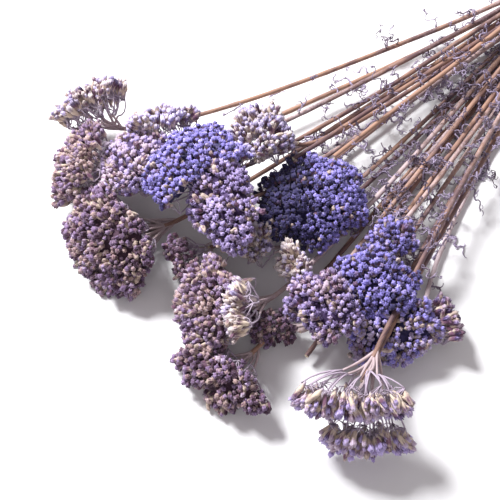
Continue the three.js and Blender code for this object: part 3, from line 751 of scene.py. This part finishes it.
def add_twine(shape, path, radius, sides, closed):
    """Adds a twine of three twisted plies along a path."""
    if closed:
        path = np.concatenate([path, path[:1]])
    length = np.concatenate([[0], np.cumsum(np.linalg.norm(np.diff(path, axis=0), axis=1))])
    turns = turns_of(sides)
    twist = length[:, None] / (TWINE["twist"] * radius) * math.pi
    ply = TWINE["inner"] + TWINE["ply"] * np.abs(np.cos(1.5 * (turns - twist)))
    to_end = np.minimum(length, length[-1] - length) / radius
    end = np.ones(len(path)) if closed else np.minimum(1.0, 0.35 + to_end)
    rings, quads = tube(path, radius * ply * end[:, None], np.array([1.0, 0.0, 0.0]))
    index = np.arange(len(path) * sides).reshape(len(path), sides)
    grain = np.tile(turns * 1.5 / math.pi, len(path)) % 1
    shape.add(np.concatenate(rings), [quads, index[:1, ::-1], index[-1:]], 0.5, grain, 0.5)


def tie_shape():
    """Three turns of twine round the stems with a knot on top, its two short ends and loose fibres."""
    random = np.random.default_rng(7)
    shape = Shape()
    radius = TIE["width"] / 6 - 0.05
    room = STEM_RADIUS["tie"] + 0.12 + radius
    steps = TWINE["steps"]
    for turn in (-1, 0, 1):
        path = ring_path(steps, room + 0.06 * turn)
        path[:, 0] += turn * TIE["width"] / 3 + 0.15 * np.sin(np.linspace(0, 2 * math.pi, steps) + turn)
        add_twine(shape, path, radius, TWINE["sides"], True)
    top = ring_path(240, room)[:, 2].max()
    loop = np.linspace(0, 2 * math.pi * 1.75, 70)
    knot = [1.5 * np.sin(loop), 1.0 + 1.9 * np.cos(loop * 1.5), top + 1.1 + 0.75 * np.sin(loop * 1.3)]
    add_twine(shape, np.stack(knot, -1), radius * 0.9, TWINE["end_sides"], False)
    for way in (-1, 1):
        end = bezier([
            (way * 0.5, 1 + way * 0.5, top + 1.2),
            (way * 3.5, 1 + way * 4, top + 2.6),
            (way * 5.5, 1 + way * 7, top + 1.6),
            (way * 6.5, 1 + way * 10.5, top - 1.4 - 0.5 * way),
        ], 40)
        add_twine(shape, end, radius * 0.85, TWINE["end_sides"], False)
    add_fibres(shape, ring_path(90, room + radius * 0.9), random)
    return shape


def add_fibres(shape, path, random):
    """Adds short loose fibres that stand off the twine."""
    number, steps = FIBRES["number"], FIBRES["steps"]
    roots = path[random.integers(0, len(path), number)]
    roots[:, 0] += random.uniform(-TIE["width"] / 2.1, TIE["width"] / 2.1, number)
    out = unit(random.normal(0, 1, (number, 3)) * [0.8, 1, 1] + unit(roots - [0, 0, 10]) * 1.2)
    length = random.uniform(*FIBRES["length"], number)
    hairs = curl_paths(roots, out, side_of(out), length, FIBRES["curl"], random, steps)
    hairs[..., 2] = np.maximum(hairs[..., 2], ABOVE_FLOOR["fibre"])
    thin = np.full((number, steps), FIBRES["half"])
    points, faces = sweep(hairs, thin, thin, 3)
    shape.add(points, faces, 0.0, 0.5, 0.5)


# The darkest, lightest and faded petals of each colour of heads
PETAL_KINDS = {"dark": "Darkest", "light": "Lightest", "faded": "Faded"}
PETAL_COLOURS = {
    "blue": ((0.018, 0.012, 0.08), (0.28, 0.235, 0.7), (0.36, 0.28, 0.45)),
    "violet": ((0.05, 0.022, 0.1), (0.42, 0.33, 0.66), (0.5, 0.38, 0.48)),
    "brown": ((0.045, 0.013, 0.035), (0.24, 0.15, 0.3), (0.42, 0.29, 0.27)),
    "pale": ((0.12, 0.09, 0.2), (0.55, 0.48, 0.76), (0.62, 0.53, 0.5)),
}
# Every other colour: its name, what has it, and its value
OTHER_COLOURS = {
    # A painted highlight on the petals' tops, not a colour of the petals themselves
    "petal_highlight": ("Petal edge", "Painted highlights on the petal tops", (0.72, 0.66, 0.84)),
    "cup": ("Cup", "Dry scales round each floret", (0.66, 0.54, 0.43)),
    "streak": ("Cup streaks", "Dark streaks on the scales", (0.13, 0.05, 0.1)),
    "stalk": ("Stalk", "Fine stalks inside a head", (0.42, 0.34, 0.44)),
    "bark": ("Bark", "Dry bark of the stems", (0.37, 0.215, 0.155)),
    "bark_dark": ("Dark bark", "Dark blotches on the bark", (0.11, 0.06, 0.07)),
    "bark_pale": ("Pale bark", "Pale stems and forks", (0.5, 0.4, 0.43)),
    "leaf": ("Leaf", "Dry curled leaves", (0.13, 0.09, 0.13)),
    "leaf_light": ("Light leaf", "Lightest curled leaves", (0.36, 0.3, 0.44)),
    "pith": ("Pith", "Cut face of a stem", (0.72, 0.62, 0.45)),
    "twine": ("Twine", "Light fibres of the tie", (0.5, 0.36, 0.19)),
    "twine_dark": ("Dark twine", "Dark fibres of the tie", (0.24, 0.16, 0.08)),
    "floor": ("Floor", "Plain floor under the bunch", (0.78, 0.78, 0.8)),
}

# What each colour group asks for, and the colour of the bunch that fills it, where {} is a head's colour
GREY = (0.5, 0.5, 0.5, 1)
FLORET_COLOURS = {
    "Dark petal": "{}_dark", "Light petal": "{}_light", "Faded petal": "{}_faded", "Petal edge": "petal_highlight",
    "Cup": "cup", "Streak": "streak", "Stalk": "stalk",
}
STEM_COLOURS = {
    "Bark": "bark", "Dark bark": "bark_dark", "Pale bark": "bark_pale",
    "Leaf": "leaf", "Light leaf": "leaf_light", "Pith": "pith",
}
TWINE_COLOURS = {"Fibre": "twine", "Dark fibre": "twine_dark"}
COLOUR_OUTPUTS = {"Color": "Color", "Roughness": "Float", "Height": "Float"}


class Nodes:
    """Places the nodes of one tree and joins them."""

    def __init__(self, tree):
        self.tree = tree

    def add(self, kind, settings, inputs):
        """Adds a node, sets it, and fills its inputs with values or with the outputs of other nodes."""
        node = self.tree.nodes.new("ShaderNode" + kind)
        for name, value in settings.items():
            setattr(node, name, value)
        for name, value in inputs.items():
            if isinstance(value, bpy.types.NodeSocket):
                self.tree.links.new(value, node.inputs[name])
            else:
                node.inputs[name].default_value = value
        return node

    def value(self, name):
        """A value that the mesh holds at its points."""
        return self.add("Attribute", {"attribute_name": name}, {}).outputs["Fac"]

    def place(self, stretch):
        """The place on the piece, in its own axes, stretched."""
        place = self.add("TexCoord", {}, {}).outputs["Object"]
        return self.add("VectorMath", {"operation": "MULTIPLY"}, {0: place, 1: stretch}).outputs["Vector"]

    def noise(self, place, scale, detail, rough=0.6):
        """Cloudy noise from 0 to 1."""
        inputs = {"Vector": place, "Scale": scale, "Detail": detail, "Roughness": rough}
        return self.add("TexNoise", {}, inputs).outputs["Fac"]

    def mottle(self, group, size, low, high):
        """The outputs of the dry mottle at one size, between two roughnesses."""
        inputs = {"Size": size, "Rough from": low, "Rough to": high}
        return self.add("Group", {"node_tree": group}, inputs).outputs

    def sum(self, first, second, share=1.0):
        """One value plus a share of another."""
        inputs = {0: second, 1: share, 2: first}
        return self.add("Math", {"operation": "MULTIPLY_ADD"}, inputs).outputs["Value"]

    def span(self, value, low, high, start=0.0, end=1.0):
        """A value between two limits, smoothly mapped to another span."""
        inputs = {"Value": value, "From Min": low, "From Max": high, "To Min": start, "To Max": end}
        return self.add("MapRange", {"interpolation_type": "SMOOTHSTEP"}, inputs).outputs["Result"]

    def mix(self, share, first, second):
        """A colour between two others."""
        return self.add("Mix", {"data_type": "RGBA"}, {"Factor": share, 6: first, 7: second}).outputs[2]


def make_group(name, inputs, outputs):
    """A new shader group with named colour or value inputs and outputs, its nodes and both its ends."""
    group = bpy.data.node_groups.new(name, "ShaderNodeTree")
    for label, default in inputs.items():
        kind = "NodeSocketColor" if isinstance(default, tuple) else "NodeSocketFloat"
        group.interface.new_socket(label, in_out="INPUT", socket_type=kind).default_value = default
    for label, kind in outputs.items():
        group.interface.new_socket(label, in_out="OUTPUT", socket_type="NodeSocket" + kind)
    source = group.nodes.new("NodeGroupInput").outputs
    result = group.nodes.new("NodeGroupOutput").inputs
    return group, Nodes(group), source, result


def joined(group, result, colour, roughness, height):
    """A colour group whose colour, roughness and height are joined to its end."""
    for label, value in zip(COLOUR_OUTPUTS, (colour, roughness, height)):
        group.links.new(value, result[label])
    return group


def dry_mottle_group():
    """Fine and coarse cloudiness of dry plant matter, as a shade, a roughness and a height."""
    inputs = {"Size": 900.0, "Rough from": 0.7, "Rough to": 0.95}
    outputs = {"Shade": "Float", "Roughness": "Float", "Height": "Float"}
    group, nodes, source, result = make_group("Dry mottle", inputs, outputs)
    place = nodes.place((1, 1, 1))
    fine = nodes.noise(place, source["Size"], 3.0)
    coarse = nodes.noise(place, 130.0, 2.0)
    shade = nodes.sum(nodes.sum(0.0, fine, 0.6), coarse, 0.4)
    group.links.new(nodes.span(shade, 0.32, 0.68), result["Shade"])
    limits = {"Value": coarse, "To Min": source["Rough from"], "To Max": source["Rough to"]}
    group.links.new(nodes.add("MapRange", {}, limits).outputs["Result"], result["Roughness"])
    group.links.new(fine, result["Height"])
    return group


def floret_group(mottle):
    """The colour of a floret from its stalk through its cup to its petals."""
    inputs = dict.fromkeys(FLORET_COLOURS, GREY)
    group, nodes, source, result = make_group("Floret colours", inputs, COLOUR_OUTPUTS)
    part, shade, tint = map(nodes.value, MESH_VALUES)
    cloud = nodes.mottle(mottle, 1300.0, 0.72, 0.95)
    speck = nodes.sum(-0.275, cloud["Shade"], 0.55)
    # The shade value carries painted light and shade as well as each floret's own tone, and the speck adds
    # random mottle
    light = nodes.sum(shade, speck)
    petal = nodes.mix(nodes.span(light, 0.0, 1.0), source["Dark petal"], source["Light petal"])
    faded = nodes.mix(nodes.span(light, 0.1, 0.8), source["Streak"], source["Faded petal"])
    petal = nodes.mix(nodes.span(nodes.sum(tint, speck, 0.8), 0.35, 1.0), petal, faded)
    # Painted highlights: the lightest parts of the petals turn towards the pale highlight colour
    petal = nodes.mix(nodes.span(light, 0.9, 1.6, 0.0, 0.85), petal, source["Petal edge"])
    cup = nodes.mix(nodes.span(nodes.sum(light, tint, 0.7), 0.2, 1.15), source["Streak"], source["Cup"])
    petal = nodes.mix(nodes.span(tint, 1.0, 1.4, 0.0, 0.9), petal, cup)
    body = nodes.mix(nodes.span(part, 0.1, 0.25), source["Stalk"], cup)
    colour = nodes.mix(nodes.span(nodes.sum(part, speck, 0.35), 0.42, 0.74), body, petal)
    return joined(group, result, colour, cloud["Roughness"], cloud["Height"])


def stem_group(mottle):
    """The colour of dry bark, its leaves, its forks and its cut ends."""
    inputs = dict.fromkeys(STEM_COLOURS, GREY)
    group, nodes, source, result = make_group("Stem colours", inputs, COLOUR_OUTPUTS)
    part, shade, tint = map(nodes.value, MESH_VALUES)
    cloud = nodes.mottle(mottle, 700.0, 0.5, 0.8)
    fibre = nodes.noise(nodes.place((0.06, 1, 1)), 1500.0, 3.0)
    blotch = nodes.noise(nodes.place((0.5, 1, 1)), 90.0, 2.0)
    light = nodes.sum(nodes.sum(blotch, fibre, 0.5), shade, 0.45)
    bark = nodes.mix(nodes.span(light, 0.75, 1.2), source["Dark bark"], source["Bark"])
    bark = nodes.mix(nodes.span(nodes.sum(tint, cloud["Shade"], 0.3), 0.5, 1.1), bark, source["Pale bark"])
    leaf_light = nodes.span(nodes.sum(shade, cloud["Shade"]), 0.3, 1.7)
    leaf = nodes.mix(leaf_light, source["Leaf"], source["Light leaf"])
    colour = nodes.mix(nodes.span(part, 0.08, 0.22), leaf, bark)
    colour = nodes.mix(nodes.span(part, 0.42, 0.58, 0.0, 0.7), colour, source["Pale bark"])
    colour = nodes.mix(nodes.span(part, 0.8, 0.95), colour, source["Pith"])
    return joined(group, result, colour, cloud["Roughness"], fibre)


def twine_group(mottle):
    """The colour of dull plant fibre."""
    inputs = dict.fromkeys(TWINE_COLOURS, GREY)
    group, nodes, source, result = make_group("Twine colours", inputs, COLOUR_OUTPUTS)
    cloud = nodes.mottle(mottle, 2200.0, 0.75, 0.95)
    strand = nodes.noise(nodes.place((1, 0.2, 0.2)), 2600.0, 3.0)
    share = nodes.span(nodes.sum(strand, cloud["Shade"], 0.4), 0.45, 0.95)
    colour = nodes.mix(share, source["Dark fibre"], source["Fibre"])
    return joined(group, result, colour, cloud["Roughness"], strand)


def make_material(name, group, inputs, depth, settings):
    """A material whose colour, roughness and bump come from a group."""
    material = bpy.data.materials.new(name)
    material.use_nodes = True
    nodes = Nodes(material.node_tree)
    shader = material.node_tree.nodes["Principled BSDF"]
    source = nodes.add("Group", {"node_tree": group}, inputs).outputs
    bump = nodes.add("Bump", {}, {"Distance": depth * MM, "Height": source["Height"], "Strength": 0.9})
    links = material.node_tree.links
    links.new(source["Color"], shader.inputs["Base Color"])
    links.new(source["Roughness"], shader.inputs["Roughness"])
    links.new(bump.outputs["Normal"], shader.inputs["Normal"])
    for label, value in settings.items():
        shader.inputs[label].default_value = value
    return material


def once(kind, name, make):
    """The group or material of this name, which is made the first time that it is asked for."""
    return kind.get(name) or make()


def colour_value(colour):
    """A colour property with full cover."""
    return (*colour, 1.0)


def colour_group(name, make):
    """A colour group with the mottle in it, made the first time that it is asked for."""
    mottle = once(bpy.data.node_groups, "Dry mottle", dry_mottle_group)
    return once(bpy.data.node_groups, name, lambda: make(mottle))


def bunch_colours(colours, wanted, family=""):
    """The colours that a group asks for, taken from those of the bunch."""
    return {label: colour_value(getattr(colours, name.format(family))) for label, name in wanted.items()}


def floret_material(family, colours):
    """The material of one colour of florets."""
    group = colour_group("Floret colours", floret_group)
    inputs = bunch_colours(colours, FLORET_COLOURS, family)
    sheen = {"Sheen Weight": 0.15, "Sheen Roughness": 0.6}
    return make_material("florets " + family, group, inputs, 0.25, sheen)


def stem_material(colours):
    """The material of stems, forks and leaves."""
    group = colour_group("Stem colours", stem_group)
    return make_material("stems", group, bunch_colours(colours, STEM_COLOURS), 0.12, {})


def twine_material(colours):
    """The material of the tie."""
    group = colour_group("Twine colours", twine_group)
    return make_material("twine", group, bunch_colours(colours, TWINE_COLOURS), 0.1, {"Sheen Weight": 0.2})


def colour_property(name, description, default):
    """A colour that a user may change."""
    return FloatVectorProperty(name=name, description=description, subtype="COLOR", size=3, min=0, max=1,
                               default=default)


def colour_properties():
    """All the colours of the bunch, each with its name, its description and its default."""
    properties = {}
    for family, petals in PETAL_COLOURS.items():
        for (kind, word), colour in zip(PETAL_KINDS.items(), petals):
            label, text = f"{family.capitalize()}, {kind}", f"{word} petals of the {family} heads"
            properties[f"{family}_{kind}"] = colour_property(label, text, colour)
    for name, values in OTHER_COLOURS.items():
        properties[name] = colour_property(*values)
    return properties


def length_property(name, description, default):
    """A length that a user may change, given in millimetres."""
    return FloatProperty(name=name, description=description, subtype="DISTANCE", unit="LENGTH",
                         default=default * MM)


class YarrowSizes(bpy.types.PropertyGroup):
    """The sizes of the bunch's fine parts."""

    floret_pitch: length_property("Floret spacing", "Distance from one floret to the next on a head", 2.8)
    floret_size: length_property("Floret width", "Width of one open floret", 3.2)
    leaves: IntProperty(name="Leaves", description="Number of curled leaves on each stem", default=26, min=0)
    leaf_from: length_property("Leaves from", "Distance past the tie where leaves begin", 30)
    leaf_to: length_property("Leaves to", "Distance past the tie where leaves end", 260)


class YarrowColours(bpy.types.PropertyGroup):
    """The colours of the bunch."""

    __annotations__ = colour_properties()


class YARROW_OT_heads(bpy.types.Operator):
    """Build all the flower heads from separate florets"""

    bl_idname = "yarrow.heads"
    bl_label = "Flower heads"

    def execute(self, context):
        sizes = context.scene.yarrow_sizes
        colours = context.scene.yarrow_colours
        for index, head in enumerate(HEADS):
            name = node_name("head", index)
            family = head["colour"]
            material = once(bpy.data.materials, "florets " + family, lambda: floret_material(family, colours))
            add_piece(name + "_florets", head_shape(index, sizes), name, material)
        return {"FINISHED"}


class YARROW_OT_stems(bpy.types.Operator):
    """Build all the stems with their forks, knuckles and curled leaves"""

    bl_idname = "yarrow.stems"
    bl_label = "Stems and leaves"

    def execute(self, context):
        sizes = context.scene.yarrow_sizes
        material = stem_material(context.scene.yarrow_colours)
        for index in range(len(STEMS)):
            name = node_name("stem", index)
            add_piece(name + "_bark", stem_shape(index, sizes), name, material)
        return {"FINISHED"}


class YARROW_OT_tie(bpy.types.Operator):
    """Build the three turns of twine and their knot"""

    bl_idname = "yarrow.tie"
    bl_label = "Twine tie"

    def execute(self, context):
        add_piece("tie_twine", tie_shape(), "tie", twine_material(context.scene.yarrow_colours))
        return {"FINISHED"}


def floor_mesh():
    """A wide flat square."""
    mesh = bpy.data.meshes.new("floor")
    corners = [(x * FLOOR_HALF, y * FLOOR_HALF, 0) for x, y in ((-1, -1), (1, -1), (1, 1), (-1, 1))]
    mesh.from_pydata(corners, [], [(0, 1, 2, 3)])
    return mesh


def aimed(name, data, place, target):
    """A lamp or camera that stands at a place and looks at the target."""
    stand = bpy.data.objects.new(name, data)
    stand.location = place
    stand.rotation_euler = (target - place).to_track_quat("-Z", "Y").to_euler()
    bpy.context.scene.collection.objects.link(stand)
    return stand


class YARROW_OT_stage(bpy.types.Operator):
    """Set the bunch on a plain floor in soft light and place the camera"""

    bl_idname = "yarrow.stage"
    bl_label = "Stage"

    def execute(self, context):
        scene = context.scene
        middle = origin()
        floor = bpy.data.objects.new("floor", floor_mesh())
        material = bpy.data.materials.new("floor")
        material.use_nodes = True
        shader = material.node_tree.nodes["Principled BSDF"]
        shader.inputs["Base Color"].default_value = colour_value(scene.yarrow_colours.floor)
        shader.inputs["Roughness"].default_value = 0.9
        floor.data.materials.append(material)
        scene.collection.objects.link(floor)
        target = Vector(CAMERA_TARGET * MM + middle)
        for name, place, size, power in LAMPS:
            lamp = bpy.data.lights.new(name, "AREA")
            lamp.shape = "DISK"
            lamp.size = size
            lamp.energy = power
            aimed(name, lamp, target + Vector(place), target)
        world = bpy.data.worlds.new("soft light")
        world.use_nodes = True
        background = world.node_tree.nodes["Background"].inputs
        background["Color"].default_value = WORLD_COLOUR
        background["Strength"].default_value = WORLD_LIGHT
        scene.world = world
        camera = bpy.data.cameras.new("camera")
        camera.sensor_width = 36
        camera.lens = LENS
        camera.clip_start = 0.01
        scene.camera = aimed("camera", camera, Vector(CAMERA_PLACE * MM + middle), target)
        scene.view_settings.view_transform = "Standard"
        return {"FINISHED"}


OPERATORS = (YARROW_OT_heads, YARROW_OT_stems, YARROW_OT_tie, YARROW_OT_stage)


class YARROW_PT_panel(bpy.types.Panel):
    """Lists the pieces of the bunch and the values behind them"""

    bl_idname = "YARROW_PT_panel"
    bl_label = "Dried yarrow"
    bl_space_type = "VIEW_3D"
    bl_region_type = "UI"
    bl_category = "Yarrow"

    def draw(self, context):
        for operator in OPERATORS:
            self.layout.operator(operator.bl_idname)
        for group in (context.scene.yarrow_sizes, context.scene.yarrow_colours):
            column = self.layout.column()
            for name in group.bl_rna.properties.keys():
                if name not in {"rna_type", "name"}:
                    column.prop(group, name)


CLASSES = (YarrowSizes, YarrowColours, *OPERATORS, YARROW_PT_panel)


def register():
    """Registers the classes and their values on the scene."""
    for item in CLASSES:
        bpy.utils.register_class(item)
    bpy.types.Scene.yarrow_sizes = PointerProperty(type=YarrowSizes)
    bpy.types.Scene.yarrow_colours = PointerProperty(type=YarrowColours)


def unregister():
    """Takes the classes and their values away again."""
    del bpy.types.Scene.yarrow_sizes
    del bpy.types.Scene.yarrow_colours
    for item in reversed(CLASSES):
        bpy.utils.unregister_class(item)


def main():
    """Builds the whole bunch."""
    register()
    bpy.ops.yarrow.heads()
    bpy.ops.yarrow.stems()
    bpy.ops.yarrow.tie()
    bpy.ops.yarrow.stage()


if __name__ == "__main__":
    main()
